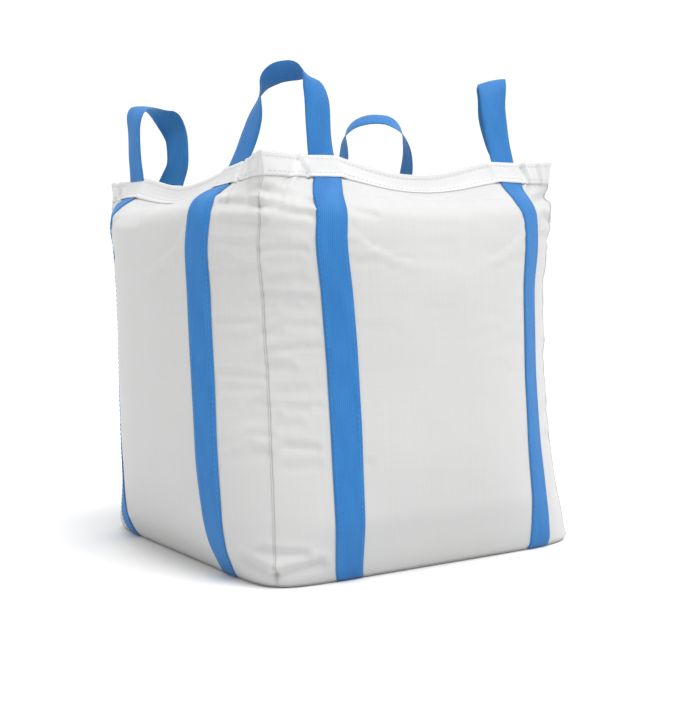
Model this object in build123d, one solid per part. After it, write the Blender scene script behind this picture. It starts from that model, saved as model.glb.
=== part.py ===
from build123d import *

import math
import os

# Filled open-top bulk bag. Millimetres, +Z up.
# Origin: centre of the flat base, on the surface that the bag stands on.
# The front face looks along -Y and the left face along -X. The bag is a little
# deeper, front to back, than it is wide. Its contents push the fabric out, so
# it is square at the base and the mouth and nearly round between them.

# ---- driving dimensions -------------------------------------------------
DEPTH_EXTRA = 30.0  # half-depth along Y is this much more than half-width along X
HEM_TOP = 948.0  # sewn mouth edge
HEM_HEIGHT = 50.0  # width of the hem band
FABRIC = 1.5  # laminated woven polypropylene panel
WEBBING = 2.5  # lifting webbing thickness
WEBBING_WIDTH = 70.0
STRAP_OFFSET = 272.0  # strap centre line from the middle of its face
SEAM_WIDTH = 14.0  # folded seam allowance along each upright edge
BASE_SEAM_HEIGHT = 9.0  # folded seam allowance around the base
LAYER_GAP = 0.25  # air between two sewn layers
SIDE_GAP = 0.3  # half the air between neighbouring panels at an edge

FILL_LEVEL = 790.0  # contents at the corners
FILL_CROWN = 50.0  # contents in the middle stand this much higher
FILL_REACH = 600.0  # middle of the contents to a corner

HINGE_LIFT = 4.0  # loop's hinge line above the mouth edge
LOOP_RISE = 214.0  # loop's crown above its hinge line, to the webbing's middle
LOOP_LEAN = 12.0  # degrees, each leg towards the other
LEG_SECTIONS = 4
ARC_SECTIONS = 13
STEM_HALF_WIDTH = 4.0  # narrow root of a leg, which turns without touching the hem
STEM_HEIGHT = 14.0
TAPER_HEIGHT = 42.0  # the leg has its full width from here up

# Filled shape: height, half-width along X, corner radius.
PROFILE = [
    (0.0, 444.0, 70.0),
    (30.0, 462.0, 95.0),
    (120.0, 492.0, 236.0),
    (300.0, 525.0, 390.0),
    (500.0, 535.0, 437.0),
    (700.0, 532.0, 423.0),
    (790.0, 515.0, 344.0),
    (850.0, 475.0, 200.0),
    (898.0, 427.0, 80.0),
    (948.0, 413.0, 40.0),
]

# ---- derived sizes ------------------------------------------------------
HEM_BOTTOM = HEM_TOP - HEM_HEIGHT
TRIM_INNER = LAYER_GAP
TRIM_OUTER = TRIM_INNER + WEBBING
HEM_INNER = TRIM_OUTER + LAYER_GAP
HEM_OUTER = HEM_INNER + FABRIC
BASE_SEAM_BOTTOM = FABRIC + 2 * LAYER_GAP
BASE_SEAM_TOP = BASE_SEAM_BOTTOM + BASE_SEAM_HEIGHT
TRIM_BOTTOM = BASE_SEAM_TOP + LAYER_GAP
FILL_RADIUS = (FILL_REACH**2 + FILL_CROWN**2) / (2 * FILL_CROWN)
REACH = 1500.0  # larger than the bag, for cutting blocks

FACES = {"front": (0, -1), "right": (1, 0), "back": (0, 1), "left": (-1, 0)}
CORNERS = {
    "front_left": (-1, -1),
    "front_right": (1, -1),
    "back_right": (1, 1),
    "back_left": (-1, 1),
}


# ---- the bag's filled form ----------------------------------------------
def outline(height, half_width, radius, grow):
    """Horizontal section of the bag, offset outward by grow."""
    width = 2 * (half_width + grow)
    depth = 2 * (half_width + DEPTH_EXTRA + grow)
    return Pos(0, 0, height) * RectangleRounded(width, depth, radius + grow)


def filled_form(grow):
    """Solid with the filled bag's outer shape, offset outward by grow."""
    return loft([outline(z, half, radius, grow) for z, half, radius in PROFILE])


def skin(inner, outer):
    """Thin wall that follows the filled form between two offsets."""
    return filled_form(outer) - filled_form(inner)


def slab(bottom, top):
    """Everything between two heights."""
    return Pos(0, 0, (bottom + top) / 2) * Box(REACH, REACH, top - bottom)


def face_wedge(face):
    """Upright prism that holds one face of the bag, out to its two corner seams."""
    x, y = FACES[face]
    tip = SIDE_GAP + (DEPTH_EXTRA if y else 0)
    flat = 0 if y else DEPTH_EXTRA
    far = REACH / 2
    inner = [(x * tip - y * s * flat, y * tip + x * s * flat) for s in (-1, 1)]
    wide = far + flat
    outer = [(x * (tip + far) - y * s * wide, y * (tip + far) + x * s * wide) for s in (1, -1)]
    points = [inner[0], outer[1], outer[0], inner[1]] if flat else [inner[0], outer[1], outer[0]]
    return extrude(make_face(Polyline(*points, close=True)), REACH)


def strap_block(face, side):
    """Upright block that cuts one full-height strap out of the trim layer."""
    x, y = FACES[face]
    centre_x = x * REACH / 2 + abs(y) * side * STRAP_OFFSET
    centre_y = y * REACH / 2 + abs(x) * side * STRAP_OFFSET
    wide_x = WEBBING_WIDTH if y else REACH
    wide_y = WEBBING_WIDTH if x else REACH
    height = HEM_TOP - TRIM_BOTTOM
    return Pos(centre_x, centre_y, TRIM_BOTTOM + height / 2) * Box(wide_x, wide_y, height)


def corner_block(corner):
    """Upright block that cuts one corner seam out of the trim layer."""
    x, y = CORNERS[corner]
    height = HEM_TOP - TRIM_BOTTOM
    turn = math.degrees(math.atan2(y, x))
    start = Pos(0, y * DEPTH_EXTRA, TRIM_BOTTOM + height / 2) * Rot(0, 0, turn)
    return start * Pos(REACH / 2, 0, 0) * Box(REACH, SEAM_WIDTH, height)


# ---- lifting loop -------------------------------------------------------
def front_left_loop():
    """Webbing arch from the front strap to the left strap, over the corner between them."""
    layer = (TRIM_INNER + TRIM_OUTER) / 2
    hem_half = PROFILE[-1][1] + layer
    root = HEM_TOP + HINGE_LIFT
    start = Vector(-STRAP_OFFSET, -hem_half - DEPTH_EXTRA, root)
    end = Vector(-hem_half, -STRAP_OFFSET, root)
    middle = (start + end) / 2
    across = (end - start).normalized()
    outward = Vector(0, 0, -1).cross(across)
    half_span = (end - start).length / 2

    lean = math.radians(LOOP_LEAN)
    closing = math.cos(lean) - math.tan(lean) * (1 - math.sin(lean))
    radius = (half_span - LOOP_RISE * math.tan(lean)) / closing
    arc_height = LOOP_RISE - radius
    leg_length = (arc_height + radius * math.sin(lean)) / math.cos(lean)
    arc_length = radius * (math.pi - 2 * lean)
    total = 2 * leg_length + arc_length

    def middle_line(distance):
        """Point (along the span, up) and direction of the webbing's middle line."""
        if distance <= leg_length:
            along = -half_span + distance * math.sin(lean)
            return along, distance * math.cos(lean), math.pi / 2 - lean
        if distance >= total - leg_length:
            left = total - distance
            return half_span - left * math.sin(lean), left * math.cos(lean), lean - math.pi / 2
        angle = math.pi - lean - (distance - leg_length) / radius
        along = radius * math.cos(angle)
        return along, arc_height + radius * math.sin(angle), angle - math.pi / 2

    def half_width(distance):
        """Half the webbing's width: a narrow stem, a taper, then the full width."""
        height = min(distance, total - distance)
        if height <= STEM_HEIGHT:
            return STEM_HALF_WIDTH
        rise = min(1, (height - STEM_HEIGHT) / (TAPER_HEIGHT - STEM_HEIGHT))
        return STEM_HALF_WIDTH + rise * (WEBBING_WIDTH / 2 - STEM_HALF_WIDTH)

    front_twist = -math.degrees(math.acos(abs(outward.X)))
    left_twist = -math.degrees(math.acos(abs(outward.Y)))

    def section(distance):
        """Cross-section of the webbing, turned from its strap's face to the crown."""
        along, up, slope = middle_line(distance)
        point = middle + across * along + Vector(0, 0, up)
        direction = across * math.cos(slope) + Vector(0, 0, math.sin(slope))
        share = 1 - 2 * distance / total
        twist = (front_twist if share > 0 else left_twist) * abs(share)
        plane = Plane(origin=point, x_dir=outward, z_dir=direction)
        return plane * Rot(0, 0, twist) * Rectangle(2 * half_width(distance), WEBBING)

    leg = [0, STEM_HEIGHT, TAPER_HEIGHT]
    leg += [TAPER_HEIGHT + (leg_length - TAPER_HEIGHT) * i / LEG_SECTIONS for i in range(1, LEG_SECTIONS)]
    arc = [leg_length + arc_length * i / (ARC_SECTIONS - 1) for i in range(ARC_SECTIONS)]
    distances = leg + arc + [total - distance for distance in reversed(leg)]
    print(f"loop: {total:.0f} mm of webbing, crown radius {radius:.0f} mm")
    print("hinge through", tuple(middle), "along", tuple(across))
    return loft([section(distance) for distance in distances], ruled=True)


# ---- pieces -------------------------------------------------------------
pieces = {}

wall = skin(-FABRIC, 0) & slab(FABRIC + LAYER_GAP, HEM_TOP)
trim = skin(TRIM_INNER, TRIM_OUTER)
hem = skin(HEM_INNER, HEM_OUTER) & slab(HEM_BOTTOM, HEM_TOP)
base_seam = trim & slab(BASE_SEAM_BOTTOM, BASE_SEAM_TOP)

for face in FACES:
    wedge = face_wedge(face)
    pieces[f"{face}_panel"] = wall & wedge
    pieces[f"hem_{face}"] = hem & wedge
    pieces[f"base_seam_{face}"] = base_seam & wedge

for face, (x, y) in FACES.items():
    for side in (-1, 1):
        if y:
            name = "right" if side > 0 else "left"
        else:
            name = "back" if side > 0 else "front"
        pieces[f"strap_{face}_{name}"] = trim & strap_block(face, side)

for corner in CORNERS:
    pieces[f"corner_seam_{corner}"] = trim & corner_block(corner)

base_height, base_half, base_radius = PROFILE[0]
pieces["bottom_panel"] = extrude(outline(base_height, base_half, base_radius, 0), FABRIC)

dome = Pos(0, 0, FILL_LEVEL + FILL_CROWN - FILL_RADIUS) * Sphere(FILL_RADIUS)
contents = filled_form(-FABRIC - LAYER_GAP) & slab(FABRIC, HEM_TOP)
pieces["bulk_fill"] = contents & dome

loop = front_left_loop()
pieces["lifting_loop_front_left"] = loop
pieces["lifting_loop_front_right"] = mirror(loop, about=Plane.YZ)
pieces["lifting_loop_back_left"] = mirror(loop, about=Plane.XZ)
pieces["lifting_loop_back_right"] = mirror(mirror(loop, about=Plane.YZ), about=Plane.XZ)

os.makedirs("parts", exist_ok=True)
for name, shape in pieces.items():
    export_step(shape, f"parts/{name}.step")
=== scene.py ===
import math

import bpy
import numpy as np
from mathutils import Matrix, Vector


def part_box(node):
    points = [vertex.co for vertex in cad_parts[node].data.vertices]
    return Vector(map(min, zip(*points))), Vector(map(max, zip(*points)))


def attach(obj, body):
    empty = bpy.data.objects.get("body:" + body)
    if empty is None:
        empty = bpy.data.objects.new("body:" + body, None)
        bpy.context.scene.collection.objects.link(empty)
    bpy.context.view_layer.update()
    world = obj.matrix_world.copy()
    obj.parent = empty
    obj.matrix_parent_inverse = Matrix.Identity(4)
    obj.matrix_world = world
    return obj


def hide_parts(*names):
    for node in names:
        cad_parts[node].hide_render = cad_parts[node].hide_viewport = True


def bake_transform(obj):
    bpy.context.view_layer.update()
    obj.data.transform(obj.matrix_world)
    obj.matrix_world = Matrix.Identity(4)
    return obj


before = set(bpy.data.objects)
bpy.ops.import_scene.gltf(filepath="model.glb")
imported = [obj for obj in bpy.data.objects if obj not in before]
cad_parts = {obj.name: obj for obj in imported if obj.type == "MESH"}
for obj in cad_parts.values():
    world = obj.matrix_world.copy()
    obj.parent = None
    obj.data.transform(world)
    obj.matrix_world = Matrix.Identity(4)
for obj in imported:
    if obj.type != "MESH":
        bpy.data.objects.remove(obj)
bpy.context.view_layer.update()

# The visible bulk bag, in metres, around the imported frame. Faces and corners
# run round the bag from the front left: face i lies between corners i and i + 1.
# All fabric comes from one grid, with rows up the bag and columns round it.
FACES = ("front", "right", "back", "left")
CORNERS = ("front_left", "front_right", "back_right", "back_left")
STRAPS = {
    "front": ("left", "right"),
    "right": ("front", "back"),
    "back": ("right", "left"),
    "left": ("back", "front"),
}

# ---- sizes from the frame -----------------------------------------------
HEM_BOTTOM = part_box("hem_front")[0][2]
HEM_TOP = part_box("hem_front")[1][2]
FILL_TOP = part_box("bulk_fill")[1][2]
STRAP_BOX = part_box("strap_front_right")
WEB_WIDTH = STRAP_BOX[1][0] - STRAP_BOX[0][0]
LOOP_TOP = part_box("lifting_loop_front_left")[1][2]
SEED = 7

# ---- filled shape -------------------------------------------------------
# Level sections of the filled bag. Each has its height, its half-widths to the
# left, right, front and back, and how square its corners are, from the front
# left one round by the front right.
SECTIONS = (
    (0.000, 0.454, 0.448, 0.480, 0.484, 10.0, 7.0, 9.0, 9.0),
    (0.010, 0.466, 0.458, 0.492, 0.494, 9.5, 6.5, 9.0, 8.5),
    (0.035, 0.482, 0.468, 0.505, 0.503, 8.0, 5.0, 7.5, 6.6),
    (0.080, 0.508, 0.488, 0.522, 0.512, 5.4, 3.7, 5.4, 4.0),
    (0.150, 0.534, 0.508, 0.546, 0.528, 4.0, 2.75, 4.1, 2.7),
    (0.300, 0.560, 0.528, 0.562, 0.545, 3.0, 2.2, 3.1, 2.12),
    (0.460, 0.564, 0.540, 0.565, 0.556, 2.6, 2.02, 2.8, 2.02),
    (0.630, 0.564, 0.542, 0.566, 0.556, 2.5, 2.0, 2.8, 2.0),
    (0.760, 0.564, 0.536, 0.552, 0.542, 2.9, 2.3, 2.9, 2.1),
    (0.815, 0.560, 0.520, 0.538, 0.530, 3.1, 2.6, 3.0, 2.3),
    (0.850, 0.543, 0.484, 0.508, 0.504, 3.4, 3.2, 3.4, 2.7),
    (0.880, 0.492, 0.432, 0.462, 0.462, 4.6, 4.6, 4.8, 4.4),
    (0.905, 0.442, 0.394, 0.430, 0.428, 8.0, 9.0, 8.0, 8.0),
    (0.948, 0.418, 0.378, 0.415, 0.410, 14.0, 16.0, 14.0, 14.0),
)
# Distance along the fabric from each corner's seam to its straps' middle lines, by height.
HIDDEN_REACH = (
    (0.0, 0.165), (0.3, 0.166), (0.6, 0.165), (0.80, 0.160), (0.87, 0.145), (HEM_TOP, 0.128),
)
SEAM_TO_STRAP = (
    ((0.0, 0.174), (0.3, 0.168), (0.6, 0.165), (0.80, 0.158), (0.87, 0.145), (HEM_TOP, 0.128)),
    (
        (0.0, 0.135), (0.1, 0.148), (0.3, 0.158), (0.80, 0.160), (0.85, 0.156), (0.905, 0.112),
        (HEM_TOP, 0.120),
    ),
    HIDDEN_REACH,
    HIDDEN_REACH,
)
# The front-left seam wanders this far along the fabric, by height.
SEAM_SHIFT = (
    (0.0, 0.0), (0.12, 0.012), (0.3, 0.012), (0.5, 0.002), (0.7, -0.006), (0.86, 0.018), (HEM_TOP, 0.004),
)
PILLOW = 0.004  # fabric between two straps stands this much proud of them
MOUTH_FROM, MOUTH_FADE = 0.84, HEM_TOP - 0.86  # the mouth's dips and lifts fade in from here up
EAR = (0.037, 0.030, 0.036, 0.044)  # pinched corners of the mouth stand out this much
EAR_CELLS = (12, 12, 12, 22)  # and over this many cells each side of the seam
EAR_RISE = (
    (0.0, 0.0), (0.78, 0.0), (0.82, 0.18), (0.85, 0.34), (0.88, 0.56), (0.905, 0.82), (HEM_TOP, 1.0),
)
EAR_LIFT = 0.006  # how much higher the mouth edge is at a corner
DIP = (0.034, 0.028, 0.030, 0.032)  # mouth edge hangs this much in the middle of each face
STRAP_DIP, STRAP_DIP_CELLS = 0.016, 9.0  # and this much more at the left face's front strap


def curve(points, x):
    """Value at x of a smooth curve through points that never overshoots them; values may be arrays."""
    px = np.array([point[0] for point in points])
    py = np.array([point[1] for point in points], dtype=float)
    wide = (slice(None),) + (None,) * (py.ndim - 1)
    h = np.diff(px)[wide]
    slope = np.diff(py, axis=0) / h
    before, after = slope[:-1], slope[1:]
    same = before * after > 0
    inner = np.where(same, 2 * before * after / np.where(same, before + after, 1), 0)
    m = np.concatenate([slope[:1], inner, slope[-1:]])
    x = np.clip(x, px[0], px[-1])
    i = np.clip(np.searchsorted(px, x, side="right") - 1, 0, len(px) - 2)
    s = ((x - px[i]) / np.diff(px)[i])[wide]
    a, b = 2 * s**3 - 3 * s**2 + 1, s**3 - 2 * s**2 + s
    c, d = 3 * s**2 - 2 * s**3, s**3 - s**2
    return a * py[i] + b * h[i] * m[i] + c * py[i + 1] + d * h[i] * m[i + 1]


def smooth(x):
    """Smooth step from 0 to 1."""
    x = np.clip(x, 0, 1)
    return x * x * (3 - 2 * x)


def running_length(line):
    """Distance along a line of points, from its first point to each of them."""
    return np.concatenate([[0], np.cumsum(np.linalg.norm(np.diff(line, axis=0), axis=1))])


def along_line(at, run, line):
    """Points of a line at some distances along it."""
    return np.stack([np.interp(at, run, line[:, i]) for i in range(line.shape[1])], 1)


def unit(vectors):
    """Vectors of length one."""
    return vectors / np.linalg.norm(vectors, axis=-1, keepdims=True)


# ---- the fabric as one grid ---------------------------------------------
ROWS = 76
SEAM_CELLS, STRAP_CELLS, MIDDLE_CELLS = 11, 5, 37
FACE_CELLS = 2 * SEAM_CELLS + 2 * STRAP_CELLS + MIDDLE_CELLS
COLUMNS = 4 * FACE_CELLS
FACE_OF = np.arange(COLUMNS) // FACE_CELLS
NEAREST_CORNER = ((np.arange(COLUMNS) + FACE_CELLS // 2) // FACE_CELLS) % 4
DENSE = 240  # points along each quarter of a section


def quarter(toward, nose, squareness):
    """Quarter of a section from one face's middle to the next one's, in the first quadrant."""
    angle = np.linspace(0, math.pi / 2, DENSE + 1)
    c, s = np.cos(angle), np.sin(angle)
    stretch = (c**squareness + s**squareness) ** (-1 / squareness)
    return toward * c * stretch, nose * s * stretch


def section_columns(section):
    """Points of one section at the grid's columns, from the front-left seam round by the front."""
    height, left, right, front, back = section[:5]
    x, y = quarter(left, front, section[5])
    front_left = np.stack([-x, -y], 1)
    x, y = quarter(front, right, section[6])
    front_right = np.stack([y, -x], 1)
    x, y = quarter(right, back, section[7])
    back_right = np.stack([x, y], 1)
    x, y = quarter(back, left, section[8])
    back_left = np.stack([-y, x], 1)
    ring = np.concatenate([front_left[:-1], front_right[:-1], back_right[:-1], back_left[:-1]])
    around = np.concatenate([ring, ring, ring[:1]])
    run = running_length(around)
    seams = run[[DENSE // 2 + corner * DENSE for corner in range(5)]]
    seams[[0, 4]] += curve(SEAM_SHIFT, np.array([height]))
    reach = [float(curve(table, np.array([height]))[0]) for table in SEAM_TO_STRAP]
    edge = WEB_WIDTH / 2
    cells = [SEAM_CELLS, STRAP_CELLS, MIDDLE_CELLS, STRAP_CELLS, SEAM_CELLS]
    points = []
    for face in range(4):
        first, last = seams[face], seams[face + 1]
        near, far = first + reach[face], last - reach[(face + 1) % 4]
        knots = [first, near - edge, near + edge, far - edge, far + edge, last]
        at = [a + (b - a) * np.arange(n) / n for a, b, n in zip(knots, knots[1:], cells)]
        points.append(along_line(np.concatenate(at), run, around))
    return np.concatenate(points)


def column_shares():
    """For each column, 0 to 1: how near it is to the closest corner seam, and to its face's middle."""
    cell = np.arange(COLUMNS) % FACE_CELLS
    inner = SEAM_CELLS + STRAP_CELLS
    ear_cells = np.array(EAR_CELLS)[NEAREST_CORNER]
    ear = np.clip(1 - np.minimum(cell, FACE_CELLS - cell) / ear_cells, 0, 1)
    middle = np.sin(np.clip((cell - inner) / MIDDLE_CELLS, 0, 1) * math.pi)
    return ear, middle


def form_grid(z):
    """Grid of the filled form: rows up, columns round the bag from the front-left seam."""
    grid = np.empty((len(z), COLUMNS, 3))
    grid[..., :2] = curve([(section[0], section_columns(section)) for section in SECTIONS], z)
    grid[..., 2] = z[:, None]
    ear, middle = column_shares()
    outward = np.array([(-1, -1), (1, -1), (1, 1), (-1, 1)])[NEAREST_CORNER]
    near_mouth = smooth((z - MOUTH_FROM) / MOUTH_FADE)[:, None]
    rise = curve(EAR_RISE, z)[:, None]
    grid[..., :2] += outward * (np.array(EAR)[NEAREST_CORNER] * ear**1.7 * rise)[..., None]
    grid[..., 2] -= np.array(DIP)[FACE_OF] * middle**1.3 * near_mouth
    from_strap = np.arange(COLUMNS) - COLUMNS + SEAM_CELLS + STRAP_CELLS
    low = np.exp(-((from_strap / STRAP_DIP_CELLS) ** 2))
    grid[..., 2] += (EAR_LIFT * ear - STRAP_DIP * low) * near_mouth
    belly = (smooth(z / 0.3) * smooth((HEM_TOP - z) / 0.2))[:, None]
    grid[..., :2] += unit(grid[..., :2]) * (PILLOW * middle**0.8 * belly)[..., None]
    return grid


def row_heights():
    """Heights of the grid's rows, evenly spaced along the fabric."""
    z = np.linspace(0.001, HEM_TOP, 800)
    front = curve([(section[0], section[3]) for section in SECTIONS], z)
    run = np.hypot(np.diff(z), np.diff(front))
    length = np.concatenate([[0], np.cumsum(run)])
    return np.interp(np.linspace(0, length[-1], ROWS), length, z)


def seam_distances(grid):
    """Distance of each grid point along the fabric from the nearest seam, and from a strap's edge."""
    step = np.linalg.norm(np.roll(grid, -1, axis=1) - grid, axis=2)
    seam, strap = [], []
    for face in range(4):
        run = np.cumsum(step[:, FACE_OF == face], axis=1)
        total = run[:, -1:]
        run = np.concatenate([0 * total, run[:, :-1]], 1)
        near = np.minimum(run, total - run)
        middle = near[:, [round(SEAM_CELLS + STRAP_CELLS / 2)]]
        seam.append(near)
        strap.append(np.abs(near - middle) - WEB_WIDTH / 2)
    return np.concatenate(seam, 1), np.concatenate(strap, 1)


def closed_quads(rows, columns):
    """Quad faces of a grid that closes round the bag."""
    r, c = np.meshgrid(np.arange(rows - 1), np.arange(columns), indexing="ij")
    a, b = r * columns + c, r * columns + (c + 1) % columns
    return np.stack([a, b, b + columns, a + columns], -1).reshape(-1, 4)


def new_mesh(name, points, quads):
    """Mesh object from arrays of points and quads."""
    mesh = bpy.data.meshes.new(name)
    mesh.from_pydata(points.reshape(-1, 3).tolist(), [], quads.tolist())
    mesh.update()
    piece = bpy.data.objects.new(name, mesh)
    bpy.context.scene.collection.objects.link(piece)
    return piece


# ---- cloth simulation of the mouth --------------------------------------
SIM_FRAMES = 34
FREE_FROM, FREE_ABOVE = 0.62, 0.76  # heights between which the cloth is let go
HELD_STRAP, HELD_EAR, HELD_MOUTH = 0.72, 0.9, 0.10  # how firmly straps and the mouth edge are held
SHOULDER = 0.80
SLACK = 0.20  # share of the belly's extra girth that is still there at the mouth
CAP_IN, CAP_OUT = 0.008, 0.018  # no point at the mouth moves further than this from the filled form


def simulate(grid, z):
    """The slack fabric above the contents buckles and sags between the straps."""
    rows, columns = grid.shape[:2]
    cloth = new_mesh("cloth_form", grid, closed_quads(rows, columns))
    cloth.shape_key_add(name="Basis")
    rest = cloth.shape_key_add(name="Cut")
    shoulder = np.argmin(np.abs(z - SHOULDER))
    cut = grid.copy()
    cut[shoulder:, :, :2] += SLACK * (grid[shoulder, :, :2] - cut[shoulder:, :, :2])
    step = np.linalg.norm(np.diff(grid, axis=0), axis=2).mean(1)
    cut[shoulder + 1:, :, 2] = (z[shoulder] + np.cumsum(step[shoulder:]))[:, None]  # upright
    rest.data.foreach_set("co", cut.reshape(-1))
    seam, strap = seam_distances(grid)
    free = smooth((z - FREE_FROM) / (FREE_ABOVE - FREE_FROM))[:, None]
    near_top = np.clip((z - 0.90) / 0.03, 0, 1)[:, None]
    hold = np.maximum(1 - free, HELD_STRAP * (strap < 0.004))
    hold = np.maximum(hold, HELD_EAR * near_top * (seam < 0.012))
    hold = np.maximum(hold, HELD_MOUTH * near_top)
    group = cloth.vertex_groups.new(name="hold")
    for index, weight in enumerate(hold.reshape(-1)):
        group.add([index], float(weight), "REPLACE")
    modifier = cloth.modifiers.new("Cloth", "CLOTH")
    settings = modifier.settings
    settings.quality = 6
    settings.mass = 0.25
    settings.tension_stiffness = 40
    settings.compression_stiffness = 40
    settings.shear_stiffness = 20
    settings.bending_stiffness = 2.0
    settings.tension_damping = 8
    settings.compression_damping = 8
    settings.shear_damping = 8
    settings.vertex_group_mass = "hold"
    settings.pin_stiffness = 1.0
    settings.rest_shape_key = rest
    modifier.collision_settings.use_collision = False
    modifier.point_cache.frame_end = SIM_FRAMES + 1
    scene = bpy.context.scene
    for number in range(1, SIM_FRAMES + 1):
        scene.frame_set(number)
    evaluated = cloth.evaluated_get(bpy.context.evaluated_depsgraph_get())
    result = np.empty(rows * columns * 3)
    evaluated.data.vertices.foreach_get("co", result)
    scene.frame_set(1)
    bpy.data.objects.remove(cloth)
    # hold each point near the filled form, most of all below the shoulder
    move = result.reshape(grid.shape) - grid
    normals = ring_normals(grid)
    out = np.sum(move * normals, axis=2, keepdims=True)
    loose = 0.2 + 0.8 * smooth((z - SHOULDER) / 0.09)[:, None, None]
    most = np.where(out > 0, CAP_OUT, CAP_IN) * loose
    held = most * np.tanh(out / most)
    sideways = move - out * normals
    size = np.linalg.norm(sideways, axis=2, keepdims=True)
    return grid + held * normals + sideways * np.minimum(1, CAP_OUT / np.maximum(size, 1e-9))


def refine(grid):
    """Twice as many rows and columns, on a smooth surface through the grid's points."""
    ring = [np.roll(grid, k, axis=1) for k in (1, 0, -1, -2)]
    middle = (-ring[0] + 9 * ring[1] + 9 * ring[2] - ring[3]) / 16
    wide = np.empty((grid.shape[0], 2 * grid.shape[1], 3))
    wide[:, 0::2], wide[:, 1::2] = grid, middle
    padded = np.concatenate([2 * wide[:1] - wide[1:2], wide, 2 * wide[-1:] - wide[-2:-1]])
    middle = (-padded[:-3] + 9 * padded[1:-2] + 9 * padded[2:-1] - padded[3:]) / 16
    tall = np.empty((2 * wide.shape[0] - 1, wide.shape[1], 3))
    tall[0::2], tall[1::2] = wide, middle
    return tall


def ring_normals(grid):
    """Outward normals of a grid that closes round the bag."""
    along = np.roll(grid, -1, axis=1) - np.roll(grid, 1, axis=1)
    return unit(np.cross(along, np.gradient(grid, axis=0)))


z_rows = row_heights()
coarse = form_grid(z_rows)
coarse = simulate(coarse, z_rows)
fabric = refine(coarse)
z_fine = np.interp(np.arange(fabric.shape[0]) / 2, np.arange(ROWS), z_rows)


# ---- creases ------------------------------------------------------------
# Folds seen on the bag. Each has the face number and share of its width, and the
# height, at its first end, the same two at its second end, and its width and depth.
FOLDS = (
    (3.845, 0.852, 4.000, 0.840, 0.011, 0.0050), (4.000, 0.840, 4.155, 0.812, 0.011, 0.0050),
    (3.870, 0.806, 4.010, 0.800, 0.010, 0.0030), (4.010, 0.868, 4.160, 0.850, 0.009, 0.0035),
    (3.860, 0.760, 3.990, 0.752, 0.009, 0.0025), (4.000, 0.742, 4.130, 0.738, 0.009, 0.0028),
    (3.850, 0.690, 4.000, 0.694, 0.010, 0.0022), (4.000, 0.640, 4.150, 0.630, 0.010, 0.0026),
    (3.850, 0.585, 3.980, 0.580, 0.009, 0.0022), (4.010, 0.520, 4.150, 0.524, 0.010, 0.0022),
    (3.850, 0.470, 3.990, 0.462, 0.009, 0.0018), (4.000, 0.400, 4.140, 0.396, 0.009, 0.0018),
    (3.900, 0.060, 4.000, 0.030, 0.012, 0.0060), (4.000, 0.030, 4.120, 0.052, 0.012, 0.0060),
    (3.960, 0.085, 4.080, 0.075, 0.010, 0.0035),
    (0.840, 0.852, 1.000, 0.872, 0.010, 0.0050), (0.900, 0.820, 1.010, 0.812, 0.010, 0.0045),
    (0.870, 0.770, 1.000, 0.778, 0.009, 0.0030), (0.240, 0.872, 0.420, 0.858, 0.010, 0.0028),
    (0.380, 0.842, 0.600, 0.850, 0.011, 0.0028), (0.540, 0.872, 0.760, 0.862, 0.009, 0.0025),
    (0.200, 0.835, 0.300, 0.815, 0.010, 0.0030), (3.300, 0.850, 3.520, 0.842, 0.011, 0.0028),
    (3.560, 0.866, 3.760, 0.856, 0.010, 0.0028), (3.080, 0.836, 3.200, 0.846, 0.010, 0.0040),
)


LEVEL_CREASES, GATHERS = 300, 9  # over the whole bag, and at each corner of the mouth
CORNER_SHARE = 0.75  # of the level creases, those near a corner
DEPTH_SCALE = 1.25
RIDGE = 0.55  # each crease has a ridge of this share of its depth beside it
LEAST_RUN = 0.004


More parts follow.
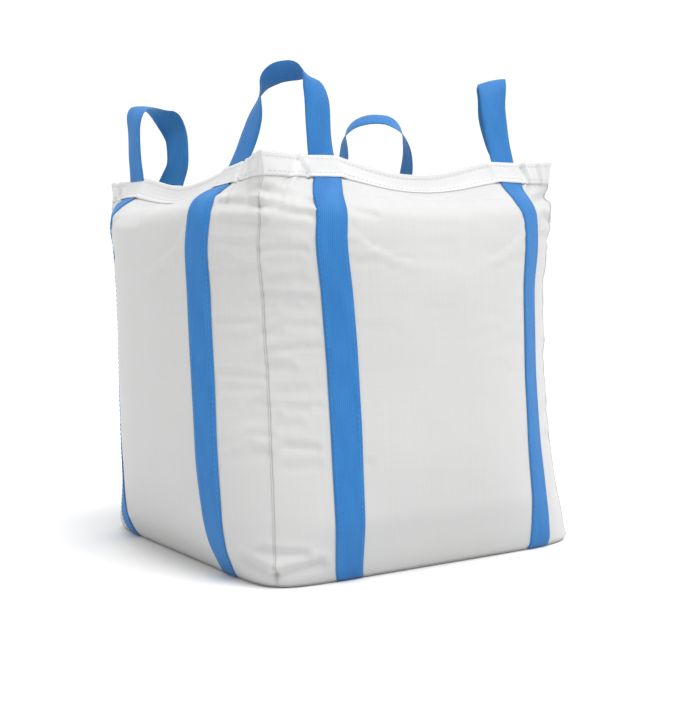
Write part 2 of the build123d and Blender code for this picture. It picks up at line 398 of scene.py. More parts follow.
def creases(grid):
    """Pressed-in creases: level ones where the fabric is slack near the corners, gathers at the ears."""
    rng = np.random.default_rng(SEED)
    columns = grid.shape[1]
    around = (np.arange(columns) / columns * 4)[None, :]  # face number and share of its width
    z = z_fine[:, None]
    height = np.zeros(grid.shape[:2])

    def fold(at, level, at_end, level_end, width, depth):
        away = (around - at + 2) % 4 - 2
        run = max(abs(at_end - at), LEAST_RUN) * (1 if at_end >= at else -1)
        climb = level_end - level
        share = np.clip((away * run + (z - level) * climb) / (run**2 + climb**2), 0, 1)
        beside = (z - level - share * climb) / width
        along = (away - share * run) / width * 1.1
        near = np.sqrt(beside**2 + along**2)
        side = np.where(abs(climb) > abs(run), np.sign(along), np.sign(beside)) * near
        ridge = RIDGE * np.exp(-((side - 1.5) / 1.1) ** 2)
        height[:] += DEPTH_SCALE * depth * (ridge - np.exp(-(near**2)))

    for _ in range(LEVEL_CREASES):
        near_corner = rng.random() < CORNER_SHARE
        corner = rng.integers(4)
        if near_corner:
            at = corner + rng.normal(0, 0.08)
            level = rng.uniform(0.26, 0.89)
            size = rng.uniform(0.4, 1.0)
        else:
            at = corner + rng.uniform(0.2, 0.8)
            level = rng.uniform(0.45, 0.88)
            size = rng.uniform(0.15, 0.45)
        reach = rng.uniform(0.04, 0.11)
        drop = rng.normal(0, 0.006)
        width = rng.uniform(0.008, 0.014)
        fold(at - reach / 2, level, at + reach / 2, level + drop, width, 0.0018 * size)
    for corner in range(4):
        for _ in range(GATHERS):
            side = rng.choice([-1, 1])
            at = corner + side * rng.uniform(0.015, 0.16)
            end = corner + side * rng.uniform(0.01, 0.20)
            level = rng.uniform(0.84, 0.90)
            fold(end, level, at, HEM_TOP, rng.uniform(0.007, 0.011), rng.uniform(0.0015, 0.0035))
    for at, level, at_end, level_end, width, depth in FOLDS:
        fold(at % 4, level, at % 4 + at_end - at, level_end, width, depth)
    cell = np.arange(columns) / 2 % FACE_CELLS
    from_seam = np.minimum(cell, FACE_CELLS - cell)
    sewn = np.minimum(from_seam - SEAM_CELLS + 1, SEAM_CELLS + STRAP_CELLS + 1 - from_seam)
    flattened = 1 - 0.8 * np.clip(sewn, 0, 1)[None, :]  # the webbing keeps the fabric flat
    return height * smooth(z / 0.02) * flattened


fabric_normals = ring_normals(fabric)
relief = creases(fabric)
fabric = fabric + fabric_normals * relief[:, :, None]
fabric_normals = ring_normals(fabric)


# ---- building pieces from the grid --------------------------------------
def thick_sheet(name, outer, inner, uv):
    """Closed thin piece between two grids of the same size, with its fabric coordinates as UVs."""
    rows, columns = outer.shape[:2]
    count = rows * columns
    index = np.arange(count).reshape(rows, columns)
    a, b, c, d = index[:-1, :-1], index[:-1, 1:], index[1:, 1:], index[1:, :-1]
    front = np.stack([a, b, c, d], -1).reshape(-1, 4)
    back = front[:, ::-1] + count
    rim = np.concatenate([index[0, :], index[1:, -1], index[-1, -2::-1], index[-2:0:-1, 0]])
    after = np.roll(rim, -1)
    side = np.stack([after, rim, rim + count, after + count], -1)
    quads = np.concatenate([front, back, side])
    points = np.concatenate([outer.reshape(-1, 3), inner.reshape(-1, 3)])
    piece = new_mesh(name, points, quads)
    flat = np.concatenate([uv.reshape(-1, 2)] * 2)
    layer = piece.data.uv_layers.new(name="fabric")
    layer.data.foreach_set("uv", flat[quads.reshape(-1)].reshape(-1).astype(np.float32))
    piece.data.shade_smooth()
    return piece


def columns_of(face, first=0, last=FACE_CELLS):
    """Column numbers of the fine grid from one cell boundary of a face to another."""
    start = 2 * face * FACE_CELLS
    return np.arange(start + 2 * first, start + 2 * last + 1) % fabric.shape[1]


def fabric_uv(grid):
    """Metres along and up the fabric, for a grid cut from it."""
    along = running_length(grid[len(grid) // 2])
    up = running_length(grid[:, grid.shape[1] // 2])
    u, v = np.meshgrid(along - along[-1] / 2, up)
    return np.stack([u, v], -1)


def finish_piece(piece, node, material):
    """Material, body and replaced CAD node of a piece that doesn't move with a loop."""
    piece.data.materials.append(material)
    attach(piece, "bag")
    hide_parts(node)


# ---- materials ----------------------------------------------------------
TAPE = 0.0026  # width of the panels' woven tapes
RIB, CROSS_THREAD = 0.0045, 0.0030  # pitch of the webbing's ribs and cross threads


class Nodes:
    """Short calls for the few node kinds the materials use."""

    def __init__(self, tree):
        self.tree = tree

    def add(self, kind, **inputs):
        node = self.tree.nodes.new(kind)
        for key, value in inputs.items():
            self.feed(node, key.replace("_", " "), value)
        return node

    def feed(self, node, key, value):
        socket = node.inputs[int(key)] if key.isdigit() else node.inputs[key]
        if isinstance(value, bpy.types.NodeSocket):
            self.tree.links.new(value, socket)
        else:
            socket.default_value = value

    def math(self, operation, first, second=0.0):
        node = self.tree.nodes.new("ShaderNodeMath")
        node.operation = operation
        self.feed(node, "0", first)
        self.feed(node, "1", second)
        return node.outputs[0]

    def uv(self):
        node = self.tree.nodes.new("ShaderNodeUVMap")
        node.uv_map = "fabric"
        parts = self.add("ShaderNodeSeparateXYZ", Vector=node.outputs[0])
        return node.outputs[0], parts.outputs[0], parts.outputs[1]

    def stretched(self, vector, scale):
        node = self.tree.nodes.new("ShaderNodeMapping")
        self.feed(node, "Vector", vector)
        node.inputs["Scale"].default_value = scale
        return node.outputs[0]

    def noise(self, vector, scale, detail=3.0):
        return self.add("ShaderNodeTexNoise", Vector=vector, Scale=scale, Detail=detail).outputs[0]

    def ramp(self, value, stops):
        node = self.tree.nodes.new("ShaderNodeValToRGB")
        self.feed(node, "Fac", value)
        elements = node.color_ramp.elements
        while len(elements) < len(stops):
            elements.new(0.5)
        for element, (position, color) in zip(elements, stops):
            element.position = position
            element.color = (*color, 1)
        return node.outputs[0]

    def bump(self, height, strength, distance):
        node = self.tree.nodes.new("ShaderNodeBump")
        self.feed(node, "Height", height)
        node.inputs["Strength"].default_value = strength
        node.inputs["Distance"].default_value = distance
        return node.outputs[0]


def new_material(name, roughness, sheen=0.0, specular=0.4):
    """New material, its shader, and short calls for its nodes."""
    material = bpy.data.materials.new(name)
    material.use_nodes = True
    shader = material.node_tree.nodes["Principled BSDF"]
    shader.inputs["Roughness"].default_value = roughness
    shader.inputs["Sheen Weight"].default_value = sheen
    shader.inputs["Specular IOR Level"].default_value = specular
    return material, shader, Nodes(material.node_tree)


def woven(name, light, dark):
    """Laminated woven tape fabric: flat tapes over and under each other, with a few uneven ones."""
    roughness = 0.5
    material, shader, n = new_material(name, roughness, sheen=0.08)
    vector, u, v = n.uv()
    across = n.math("SINE", n.math("MULTIPLY", u, math.pi / TAPE))
    along = n.math("SINE", n.math("MULTIPLY", v, math.pi / TAPE))
    crossing = n.math("MULTIPLY", across, along)
    weave = n.math("ABSOLUTE", crossing)
    streak_across = n.noise(n.stretched(vector, (2.0, 260.0, 1.0)), 1.0, 2.0)
    streak_up = n.noise(n.stretched(vector, (260.0, 2.0, 1.0)), 1.0, 2.0)
    streaks = n.math("ADD", streak_across, streak_up)
    cloud = n.noise(vector, 9.0, 4.0)
    tone = n.math("ADD", n.math("MULTIPLY", streaks, 0.35), n.math("MULTIPLY", cloud, 0.3))
    n.feed(shader, "Base Color", n.ramp(tone, [(0.30, dark), (0.66, light)]))
    n.feed(shader, "Roughness", n.math("ADD", n.math("MULTIPLY", streaks, 0.10), roughness - 0.10))
    fine = n.math("ADD", n.math("MULTIPLY", weave, 0.6), n.math("MULTIPLY", streaks, 0.9))
    n.feed(shader, "Normal", n.bump(fine, 0.35, 0.0006))
    return material


def webbing(name, light, dark):
    """Ribbed webbing: lengthwise ribs crossed by fine slanting threads, a little uneven in tone, with
    painted shade that darkens the grooves between them.
    """
    material, shader, n = new_material(name, 0.6, sheen=0.05, specular=0.25)
    vector, u, v = n.uv()
    rib = n.math("ABSOLUTE", n.math("SINE", n.math("MULTIPLY", u, math.pi / RIB)))
    upward = n.math("MULTIPLY", v, math.pi / CROSS_THREAD)
    slant = n.math("ADD", upward, n.math("MULTIPLY", u, math.pi / RIB))
    thread = n.math("ABSOLUTE", n.math("SINE", slant))
    cloud = n.noise(n.stretched(vector, (30.0, 9.0, 1.0)), 1.0, 4.0)
    streak = n.noise(n.stretched(vector, (420.0, 6.0, 1.0)), 1.0, 2.0)
    height = n.math("ADD", n.math("MULTIPLY", rib, 0.7), n.math("MULTIPLY", thread, 0.5))
    tone = n.math("ADD", n.math("MULTIPLY", cloud, 0.45), n.math("MULTIPLY", streak, 0.25))
    # painted shade: the rib and thread height is added to the tone, so the grooves are coloured darker
    # and the raised ribs and threads lighter
    tone = n.math("ADD", tone, n.math("MULTIPLY", height, 0.20))
    n.feed(shader, "Base Color", n.ramp(tone, [(0.30, dark), (0.72, light)]))
    n.feed(shader, "Normal", n.bump(height, 0.6, 0.0008))
    return material


def granules(name, dark, light):
    """Loose granules: rounded cells with a different tone each."""
    material, shader, n = new_material(name, 0.6)
    place = n.add("ShaderNodeTexCoord").outputs["Object"]
    cells = n.add("ShaderNodeTexVoronoi", Vector=place, Scale=190.0)
    tone = n.add("ShaderNodeSeparateXYZ", Vector=cells.outputs["Color"]).outputs[0]
    n.feed(shader, "Base Color", n.ramp(tone, [(0.1, dark), (0.9, light)]))
    n.feed(shader, "Normal", n.bump(n.math("MULTIPLY", cells.outputs["Distance"], -1.0), 0.8, 0.003))
    return material


def thread_material(name, color):
    """Sewing thread with a fine uneven twist."""
    material, shader, n = new_material(name, 0.5, sheen=0.1)
    place = n.add("ShaderNodeTexCoord").outputs["Object"]
    twist = n.noise(place, 700.0, 2.0)
    dark = tuple(0.8 * channel for channel in color)
    n.feed(shader, "Base Color", n.ramp(twist, [(0.3, dark), (0.7, color)]))
    n.feed(shader, "Normal", n.bump(twist, 0.4, 0.0004))
    return material


PANEL = woven("panel_weave", (0.550, 0.550, 0.544), (0.520, 0.522, 0.513))
HEM = woven("hem_weave", (0.645, 0.645, 0.645), (0.612, 0.612, 0.609))
SEAM = woven("seam_weave", (0.550, 0.550, 0.540), (0.500, 0.500, 0.488))
BLUE = webbing("blue_webbing", (0.034, 0.208, 0.510), (0.014, 0.132, 0.395))
WHITE_THREAD = thread_material("white_thread", (0.60, 0.60, 0.59))
BLUE_THREAD = thread_material("blue_thread", (0.060, 0.280, 0.600))
GRANULE = granules("granules", (0.50, 0.45, 0.36), (0.74, 0.69, 0.58))


# ---- panels -------------------------------------------------------------
PANEL_THICKNESS = 0.0010
WEB_THICKNESS = 0.0022
HEM_THICKNESS = 0.0011
LAY = 0.0004  # between sewn layers
STRAP_GAP = 0.0008  # and this much more under the webbing
BASE_THICKNESS = 0.0016
BASE_RINGS = 14


def offset(grid, normals, distance):
    """Grid moved along its normals, by one distance or one for each point."""
    return grid + normals * (distance[..., None] if np.ndim(distance) else distance)


def build_panels():
    for face, name in enumerate(FACES):
        columns = columns_of(face)
        grid, normals = fabric[:, columns], fabric_normals[:, columns]
        inner = offset(grid, normals, -PANEL_THICKNESS)
        piece = thick_sheet(f"{name}_panel_fabric", grid, inner, fabric_uv(grid))
        finish_piece(piece, f"{name}_panel", PANEL)


def build_base():
    """Base panel, as rings that shrink nearly to a point."""
    share = np.linspace(0, 1, BASE_RINGS)[:, None, None]
    grid = fabric[0] * (1 - 0.985 * share)
    outer = np.concatenate([grid, grid[:, :1]], 1)
    outer[..., 2] = 0.0
    inner = outer + np.array([0, 0, BASE_THICKNESS])
    piece = thick_sheet("bottom_panel_fabric", outer, inner, outer[..., :2])
    finish_piece(piece, "bottom_panel", PANEL)


# ---- straps, seams and hem ----------------------------------------------
def rounded_edges(columns, share=0.45):
    """Thickness share across a strip: thinner at its two edges."""
    x = np.linspace(-1, 1, columns)
    return 1 - (1 - share) * np.clip((np.abs(x) - 0.9) / 0.1, 0, 1) ** 2


def strip(name, grid, normals, gap, thickness):
    """Thin strip that lies on the fabric."""
    across = rounded_edges(grid.shape[1])[None, :]
    inner = offset(grid, normals, gap)
    outer = offset(grid, normals, gap + thickness * across)
    return thick_sheet(name, outer, inner, fabric_uv(grid))


def smooth_rows(grid, times):
    """Evens out creases along a strip: webbing is stiffer than the fabric under it."""
    grid = grid.copy()
    for _ in range(times):
        grid[1:-1] = (grid[:-2] + 2 * grid[1:-1] + grid[2:]) / 4
    return grid


ROOT_ROWS = 3  # rows of the fine grid under the mouth edge where a loop takes over from its strap
STRAP_SMOOTHING = 8


def strap_cells(which):
    """First and last cell of a face's first or second strap."""
    first = SEAM_CELLS if which == 0 else SEAM_CELLS + STRAP_CELLS + MIDDLE_CELLS
    return first, first + STRAP_CELLS


def build_straps():
    for face, name in enumerate(FACES):
        for which, side in enumerate(STRAPS[name]):
            columns = columns_of(face, *strap_cells(which))
            flat, normals = fabric[1:-ROOT_ROWS, columns], fabric_normals[1:-ROOT_ROWS, columns]
            # under the hem the strap follows the fabric as closely as the hem does
            sewn = smooth((z_fine[1:-ROOT_ROWS] - HEM_BOTTOM + 0.03) / 0.025)[:, None, None]
            grid = smooth_rows(flat, STRAP_SMOOTHING) * (1 - sewn) + flat * sewn
            piece = strip(f"strap_{name}_{side}_webbing", grid, normals, LAY + STRAP_GAP, WEB_THICKNESS)
            finish_piece(piece, f"strap_{name}_{side}", BLUE)


def build_corner_seams():
    for corner, name in enumerate(CORNERS):
        columns = (2 * corner * FACE_CELLS + np.arange(-1, 2)) % fabric.shape[1]
        grid = fabric[2:-1, columns]
        normals = fabric_normals[2:-1, columns]
        middle = grid[:, 1:2]
        wide = middle + (grid - middle) * 0.24  # as shares of a cell of the fine grid
        narrow = middle + (grid - middle) * 0.17
        spread = np.concatenate([wide[:, :1], narrow[:, :1], middle, narrow[:, 2:], wide[:, 2:]], 1)
        piece = strip(f"corner_seam_{name}_fold", spread, normals[:, [0, 0, 1, 2, 2]], LAY, 0.0010)
        finish_piece(piece, f"corner_seam_{name}", SEAM)


def build_base_seams():
    for face, name in enumerate(FACES):
        columns = columns_of(face)
        grid, normals = fabric[:2, columns], fabric_normals[:2, columns]
        piece = strip(f"base_seam_{name}_fold", grid, normals, LAY, 0.0005)
        finish_piece(piece, f"base_seam_{name}", SEAM)


def hem_rows():
    """How many rows of the fine grid the hem band covers."""
    return int(np.sum(z_fine > HEM_BOTTOM))


def hem_lift():
    """How far the outside of the hem stands off the fabric, over the straps and beside them."""
    cell = np.arange(2 * FACE_CELLS + 1) / 2
    over = np.zeros(len(cell))
    for which in (0, 1):
        first, last = strap_cells(which)
        inside = np.minimum(cell - first + 1.5, last + 1.5 - cell)
        over = np.maximum(over, np.clip(inside, 0, 1))
    over = np.convolve(np.pad(over, 1, "edge"), [0.25, 0.5, 0.25], "valid")
    return LAY + (WEB_THICKNESS + 0.0016) * over + HEM_THICKNESS


def build_hems():
    """Hem bands: up the outside of the mouth, over its edge and down the inside."""
    rows = hem_rows()
    for face, name in enumerate(FACES):
        columns = columns_of(face)
        grid, normals = fabric[-rows:, columns], fabric_normals[-rows:, columns]
        outside = offset(grid, normals, hem_lift() - HEM_THICKNESS + HEM_THICKNESS / 2)
        inside = offset(grid, normals, -PANEL_THICKNESS - LAY - HEM_THICKNESS / 2)
        top = (outside[-1:] + inside[-1:]) / 2 + np.array([0, 0, 0.003])
        path = np.concatenate([outside, top, inside[::-1]])
        facing = unit(np.cross(np.gradient(path, axis=1), np.gradient(path, axis=0)))
        outer = path + facing * HEM_THICKNESS / 2
        inner = path - facing * HEM_THICKNESS / 2
        piece = thick_sheet(f"hem_{name}_band", outer, inner, fabric_uv(path))
        finish_piece(piece, f"hem_{name}", HEM)


# ---- stitching ----------------------------------------------------------
STITCH, STITCH_GAP, THREAD = 0.0085, 0.0040, 0.00055  # length, gap and half thickness
STITCH_SIDES = 6


def stitches(name, lines, thread):
    """Short raised stitches along lines of points, each with the outward direction at every point."""
    # one stitch is four rings of points: its two ends dip into the fabric
    stations = np.array([0.0, 0.2, 0.8, 1.0])
    rise = np.array([-0.6, 0.6, 0.6, -0.6]) * THREAD
    size = np.array([0.35, 1.0, 1.0, 0.35]) * THREAD
    ring = np.linspace(0, 2 * math.pi, STITCH_SIDES, endpoint=False)
    cos, sin = np.cos(ring)[None, :, None], np.sin(ring)[None, :, None]
    sides = closed_quads(len(stations), STITCH_SIDES).tolist()
    ends = [(3, 2, 1, 0), (5, 4, 3, 0), (18, 19, 20, 21), (18, 21, 22, 23)]
    one = np.array(sides + [list(end) for end in ends])
    points, quads = [], []
    for line, normals in lines:
        run = running_length(line)
        for start in np.arange(0.002, run[-1] - STITCH, STITCH + STITCH_GAP):
            at = start + stations * STITCH
            middle, out = along_line(at, run, line), along_line(at, run, normals)
            side = unit(np.cross(middle[-1] - middle[0], out))
            middle = middle + out * rise[:, None]
            around = side[:, None] * cos + out[:, None] * sin
            quads.append(one + len(stations) * STITCH_SIDES * len(points))
            points.append((middle[:, None] + around * size[:, None, None]).reshape(-1, 3))
    piece = new_mesh(name, np.concatenate(points), np.concatenate(quads))
    piece.data.shade_smooth()
    piece.data.materials.append(thread)
    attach(piece, "bag")


def build_stitching():
    rows = hem_rows()
    for face, name in enumerate(FACES):
        lines = []
        for which in (0, 1):
            columns = columns_of(face, *strap_cells(which))
            flat, normals = fabric[1:-rows, columns], fabric_normals[1:-rows, columns]
            grid = smooth_rows(flat, STRAP_SMOOTHING)
            for column in (1, -2):
                line = grid[:, column] + normals[:, column] * (LAY + STRAP_GAP + WEB_THICKNESS)
                lines.append((line[2:], normals[2:, column]))
        stitches(f"stitching_straps_{name}", lines, BLUE_THREAD)
        columns = columns_of(face)
        lines = []
        for row in (-rows + 2, -2):
            line = fabric[row, columns] + fabric_normals[row, columns] * hem_lift()[:, None]
            lines.append((line[2:-2], fabric_normals[row, columns][2:-2]))
        stitches(f"stitching_hem_{name}", lines, WHITE_THREAD)


# ---- contents -----------------------------------------------------------
FILL_EDGE, FILL_REACH = 0.790, 0.60  # height at the walls, and the heap's half-width
FILL_RINGS, FILL_INSET = 26, 0.016
SWELLS, SWELL = 9, 0.0022  # low waves in the heap's surface


def fill_height(x, y):
    """Height of the heaped contents."""
    return FILL_EDGE + (FILL_TOP - FILL_EDGE) * np.clip(1 - (x * x + y * y) / FILL_REACH**2, 0, 1)


def build_contents():
    """Top of the contents: rings that shrink nearly to a point, with a short skirt down the walls."""
    level = int(np.argmin(np.abs(z_fine - FILL_EDGE)))
    ring = fabric[level] - fabric_normals[level] * FILL_INSET
    skirt = fabric[level - 6] - fabric_normals[level - 6] * FILL_INSET
    rng = np.random.default_rng(SEED + 1)
    waves = [(rng.uniform(4, 13), rng.uniform(0, math.pi), rng.uniform(0, 6.3)) for _ in range(SWELLS)]
    layers = [skirt]
    for share in np.linspace(0.0, 1.0, FILL_RINGS):
        flat = ring[:, :2] * (1 - share * 0.995)
        top = fill_height(flat[:, 0], flat[:, 1]) - 0.014 * (1 - min(1, share * 4))
        for pitch, heading, phase in waves:
            run = flat[:, 0] * math.cos(heading) + flat[:, 1] * math.sin(heading)
            top = top + SWELL * np.sin(run * pitch * 2 * math.pi + phase) * min(1, share * 6)
        layers.append(np.column_stack([flat, top]))
    grid = np.array(layers)
    grid = np.concatenate([grid, grid[:, :1]], 1)
    piece = thick_sheet("bulk_fill_heap", grid, grid - np.array([0, 0, 0.02]), grid[..., :2])
    finish_piece(piece, "bulk_fill", GRANULE)


# ---- lifting loops ------------------------------------------------------
LOOP_STEPS = 80
ACROSS = 8
LOOP_DENSE = 600  # points along a loop before they are spaced evenly
CUP, RIPPLE = 0.0030, 0.0012
ROOT_LENGTH = 0.055  # over this length a loop still has the bend of the hem it comes out of
# Middle line of each loop from its first leg to its second. Each point has its place along the
# span (-1 and 1 at the roots), height over the rise, metres outward over the corner, and how far
# the webbing has turned from the first face's direction (0) to the second's (1).
LOOPS = {
    "front_left": (
        (-1.00, 0.00, 0.0, 0.00), (-0.96, 0.12, 0.0, 0.05), (-0.93, 0.33, 0.0, 0.08),
        (-0.92, 0.57, 0.0, 0.08), (-0.84, 0.75, 0.0, 0.14), (-0.66, 0.86, 0.0, 0.30),
        (-0.42, 0.90, 0.0, 0.44), (-0.12, 0.89, 0.0, 0.53), (0.06, 0.85, 0.0, 0.59),
        (0.20, 0.79, 0.0, 0.66), (0.32, 0.66, 0.0, 0.80), (0.46, 0.46, 0.0, 1.02),
        (0.64, 0.25, 0.0, 1.12), (0.84, 0.08, 0.0, 1.08), (1.00, 0.00, 0.0, 1.00),
    ),
    "front_right": (
        (-1.00, 0.00, 0.0, 0.00), (-1.00, 0.12, -0.016, 0.00), (-0.97, 0.35, -0.040, 0.05),
        (-0.88, 0.62, -0.052, 0.14), (-0.66, 0.84, -0.048, 0.25), (-0.20, 0.96, -0.042, 0.40),
        (0.34, 0.97, -0.034, 0.54), (0.78, 0.86, -0.028, 0.78), (0.94, 0.62, -0.024, 0.94),
        (0.98, 0.35, -0.016, 0.98), (1.00, 0.12, -0.006, 1.00), (1.00, 0.00, 0.0, 1.00),
    ),
    "back_right": (
        (-1.00, 0.00, 0.0, 0.00), (-0.66, 0.20, 0.0, 0.15), (-0.47, 0.45, 0.0, 0.34),
        (-0.42, 0.72, 0.0, 0.52), (-0.28, 0.85, 0.0, 0.62), (-0.02, 0.925, 0.0, 0.60),
        (0.35, 0.955, 0.0, 0.54), (0.74, 0.94, 0.0, 0.54), (1.06, 0.85, 0.0, 0.62),
        (1.28, 0.69, 0.0, 0.76), (1.38, 0.46, 0.0, 0.88), (1.32, 0.19, 0.0, 1.00),
        (1.12, 0.05, 0.0, 1.00), (1.00, 0.00, 0.0, 1.00),
    ),
    "back_left": (
        (-1.00, 0.00, 0.0, 0.00), (-1.02, 0.12, 0.0, 0.00), (-1.03, 0.35, 0.003, 0.00),
        (-1.00, 0.62, 0.004, 0.00), (-0.86, 0.82, 0.004, 0.10), (-0.45, 0.93, -0.004, 0.42),
        (0.15, 0.92, -0.014, 0.72), (0.66, 0.82, -0.026, 0.98), (0.98, 0.60, -0.034, 1.13),
        (1.08, 0.34, -0.030, 1.18), (1.04, 0.12, -0.012, 1.06), (1.00, 0.00, 0.0, 1.00),
    ),
}
# How far the webbing's width leans out of level at the crown.
CROWN_TILT = {"front_left": 0.62, "front_right": 0.15, "back_right": 0.60, "back_left": 0.15}


def leg_root(face, which):
    """Line across a strap where it leaves the mouth, inside the hem."""
    columns = columns_of(face, *strap_cells(which))
    row = fabric[-ROOT_ROWS, columns] - fabric_normals[-ROOT_ROWS, columns] * PANEL_THICKNESS / 2
    return along_line(np.linspace(0, len(row) - 1, ACROSS + 1), np.arange(len(row)), row)


def loop_line(name, start, end, across, outward):
    """Middle line of a loop at even steps, how far it has turned at each, and its running length."""
    keys = np.array(LOOPS[name])
    half_span = np.linalg.norm((end - start)[:2]) / 2
    mouth = (start[2] + end[2]) / 2
    height = start[2] * (1 - keys[:, 0]) / 2 + end[2] * (1 + keys[:, 0]) / 2
    height = np.where(keys[:, 1] < 0.5, height, mouth) + keys[:, 1] * (LOOP_TOP - WEB_THICKNESS - mouth)
    middle = np.append((start[:2] + end[:2]) / 2, 0)
    line = middle + across * keys[:, :1] * half_span + outward * keys[:, 2:3]
    line[:, 2] = height
    run = running_length(line)
    dense = curve(list(zip(run, line)), np.linspace(0, run[-1], LOOP_DENSE))
    turn = curve(list(zip(run, keys[:, 3])), np.linspace(0, run[-1], LOOP_DENSE))
    length = running_length(dense)
    distance = np.linspace(0, length[-1], LOOP_STEPS + 1)
    points = smooth_rows(along_line(distance, length, dense), 3)
    return points, np.interp(distance, length, turn), distance


def loop_directions(name, points, turn, roots, outward):
    """Directions of a loop's width and face along its line. In plan the width turns from one face's
    direction to the other's, by way of outward."""
    tangent = unit(np.gradient(points, axis=0))
    base = math.atan2(outward[1], outward[0])
    angles = []
    for root in roots:
        along = root[-1] - root[0]
        along = along if along @ outward > 0 else -along
        angles.append((math.atan2(along[1], along[0]) - base + math.pi) % (2 * math.pi) - math.pi)
    angle = base + angles[0] * (1 - turn) + angles[1] * turn
    lean = CROWN_TILT[name] * np.sin(math.pi * turn) ** 2
    width = np.stack([np.cos(angle), np.sin(angle), lean], 1)
    width = unit(width - tangent * np.sum(width * tangent, axis=1, keepdims=True))
    normal = np.cross(tangent, width)
    if normal[LOOP_STEPS // 2][2] < 0:
        normal = -normal
    return tangent, width, normal


def build_loop(corner):
    """Lifting loop over one corner, from the strap of one face to the strap of the face before it."""
    name = CORNERS[corner]
    roots = [leg_root(corner, 0), leg_root(corner - 1, 1)]
    start, end = roots[0].mean(0), roots[1].mean(0)
    across = np.append((end - start)[:2], 0) / np.linalg.norm((end - start)[:2])
    outward = np.cross(across, (0.0, 0.0, 1.0))
    if outward @ start < 0:
        outward = -outward
    points, turn, distance = loop_line(name, start, end, across, outward)
    tangent, width, normal = loop_directions(name, points, turn, roots, outward)
    place = np.linspace(-1, 1, ACROSS + 1)
    grid = points[:, None] + width[:, None] * (place * WEB_WIDTH / 2)[None, :, None]
    for row, root, away in ((0, roots[0], distance), (-1, roots[1], distance[-1] - distance)):
        root = root if (root[-1] - root[0]) @ width[row] > 0 else root[::-1]
        held = smooth(1 - away / ROOT_LENGTH)[:, None, None]
        grid = grid + held * (root - grid[row])[None]
    share = distance / distance[-1]
    crown = np.sin(math.pi * share)[:, None, None]
    cup = CUP * (1 - place**2)
    ripple = RIPPLE * np.sin(share * 23 + corner * 2.1)[:, None, None] * place[None, :, None] * crown
    grid = grid + normal[:, None] * (cup[None, :, None] * crown + ripple)
    edge = rounded_edges(ACROSS + 1)[None, :, None]
    outer = grid + normal[:, None] * WEB_THICKNESS / 2 * edge
    inner = grid - normal[:, None] * WEB_THICKNESS / 2 * edge
    uv = np.stack(np.meshgrid(place * WEB_WIDTH / 2, distance), -1)
    if np.cross(width[0], tangent[0]) @ normal[0] < 0:
        outer, inner, uv = outer[:, ::-1], inner[:, ::-1], uv[:, ::-1]
    piece = thick_sheet(f"lifting_loop_{name}_webbing", outer, inner, uv)
    piece.data.materials.append(BLUE)
    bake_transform(piece)
    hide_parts(f"lifting_loop_{name}")


build_contents()
build_panels()
build_base()
build_straps()
build_corner_seams()
build_base_seams()
build_hems()
build_stitching()
for corner in range(4):
    build_loop(corner)


# ---- camera, lights and floor -------------------------------------------
CAMERA_AT = Vector((-1.655, -2.786, 0.651))
HEADING, PITCH, ROLL = math.radians(31.29), math.radians(-3.48), math.radians(-1.37)
LENS = 60.4
BEHIND = (math.sin(HEADING), math.cos(HEADING))  # level direction from the camera past the bag
FLOOR_REACH, FLOOR_SIDES, FLOOR_DROP = 30, 96, 0.0005


def build_camera():
    ahead = math.cos(PITCH)
    forward = Vector((math.sin(HEADING) * ahead, math.cos(HEADING) * ahead, math.sin(PITCH)))
    level = Vector((math.cos(HEADING), -math.sin(HEADING), 0))
    upright = level.cross(forward)
    right = level * math.cos(ROLL) + upright * math.sin(ROLL)
    up = upright * math.cos(ROLL) - level * math.sin(ROLL)
    data = bpy.data.cameras.new("camera")
    data.lens = LENS
    camera = bpy.data.objects.new("camera", data)
    camera.matrix_world = Matrix((right, up, -forward)).transposed().to_4x4()
    camera.location = CAMERA_AT
    bpy.context.scene.collection.objects.link(camera)
    bpy.context.scene.camera = camera


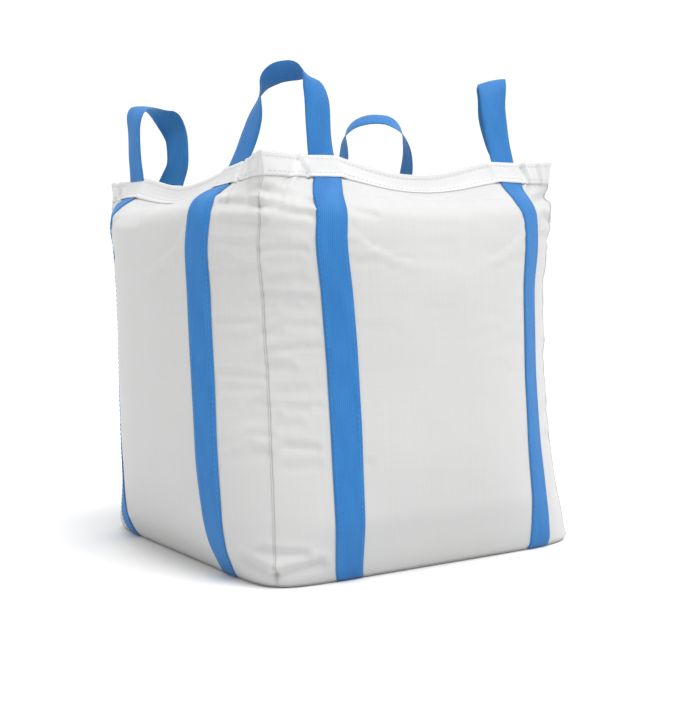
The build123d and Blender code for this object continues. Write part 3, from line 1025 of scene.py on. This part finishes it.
def build_floor():
    """Round pale floor, just under the bag."""
    angles = np.linspace(0, 2 * math.pi, FLOOR_SIDES, endpoint=False)
    rim = [(FLOOR_REACH * math.cos(a), FLOOR_REACH * math.sin(a), -FLOOR_DROP) for a in angles]
    mesh = bpy.data.meshes.new("floor")
    mesh.from_pydata(rim, [], [list(range(FLOOR_SIDES))])
    floor = bpy.data.objects.new("floor", mesh)
    bpy.context.scene.collection.objects.link(floor)
    material, shader, n = new_material("floor_paper", 0.9, specular=0.1)
    place = n.add("ShaderNodeTexCoord").outputs["Object"]
    tone = n.noise(place, 3.0, 2.0)
    n.feed(shader, "Base Color", n.ramp(tone, [(0.3, (0.79,) * 3), (0.7, (0.81,) * 3)]))
    mesh.materials.append(material)


def build_world():
    """Studio surround: white wall behind the bag, a dimmer room in front of it, a soft ceiling."""
    world = bpy.data.worlds.new("studio")
    world.use_nodes = True
    tree = world.node_tree
    n = Nodes(tree)
    place = n.add("ShaderNodeTexCoord").outputs["Generated"]
    parts = n.add("ShaderNodeSeparateXYZ", Vector=place)
    facing = n.math("ADD", n.math("MULTIPLY", parts.outputs[0], BEHIND[0]),
                    n.math("MULTIPLY", parts.outputs[1], BEHIND[1]))
    across = n.math("ADD", n.math("MULTIPLY", facing, 0.5), 0.5)
    wall = n.ramp(across, [(0.35, (0.46,) * 3), (0.72, (1.06,) * 3)])
    ceiling = n.ramp(parts.outputs[2], [(0.30, (0.0,) * 3), (0.80, (1.0,) * 3)])
    mix = tree.nodes.new("ShaderNodeMixRGB")
    n.feed(mix, "Fac", ceiling)
    n.feed(mix, "Color1", wall)
    mix.inputs["Color2"].default_value = (1.20, 1.20, 1.21, 1)
    tree.links.new(mix.outputs[0], tree.nodes["Background"].inputs["Color"])
    tree.nodes["Background"].inputs["Strength"].default_value = 1.0
    bpy.context.scene.world = world


def build_sun():
    """Soft key light from above and in front."""
    data = bpy.data.lights.new("key", "SUN")
    data.energy = 2.3
    data.angle = math.radians(40)
    light = bpy.data.objects.new("key", data)
    light.rotation_euler = Vector((-0.10, 0.45, -0.89)).to_track_quat("-Z", "Y").to_euler()
    bpy.context.scene.collection.objects.link(light)


build_camera()
build_world()
build_floor()
build_sun()
bpy.context.scene.view_settings.view_transform = "Standard"
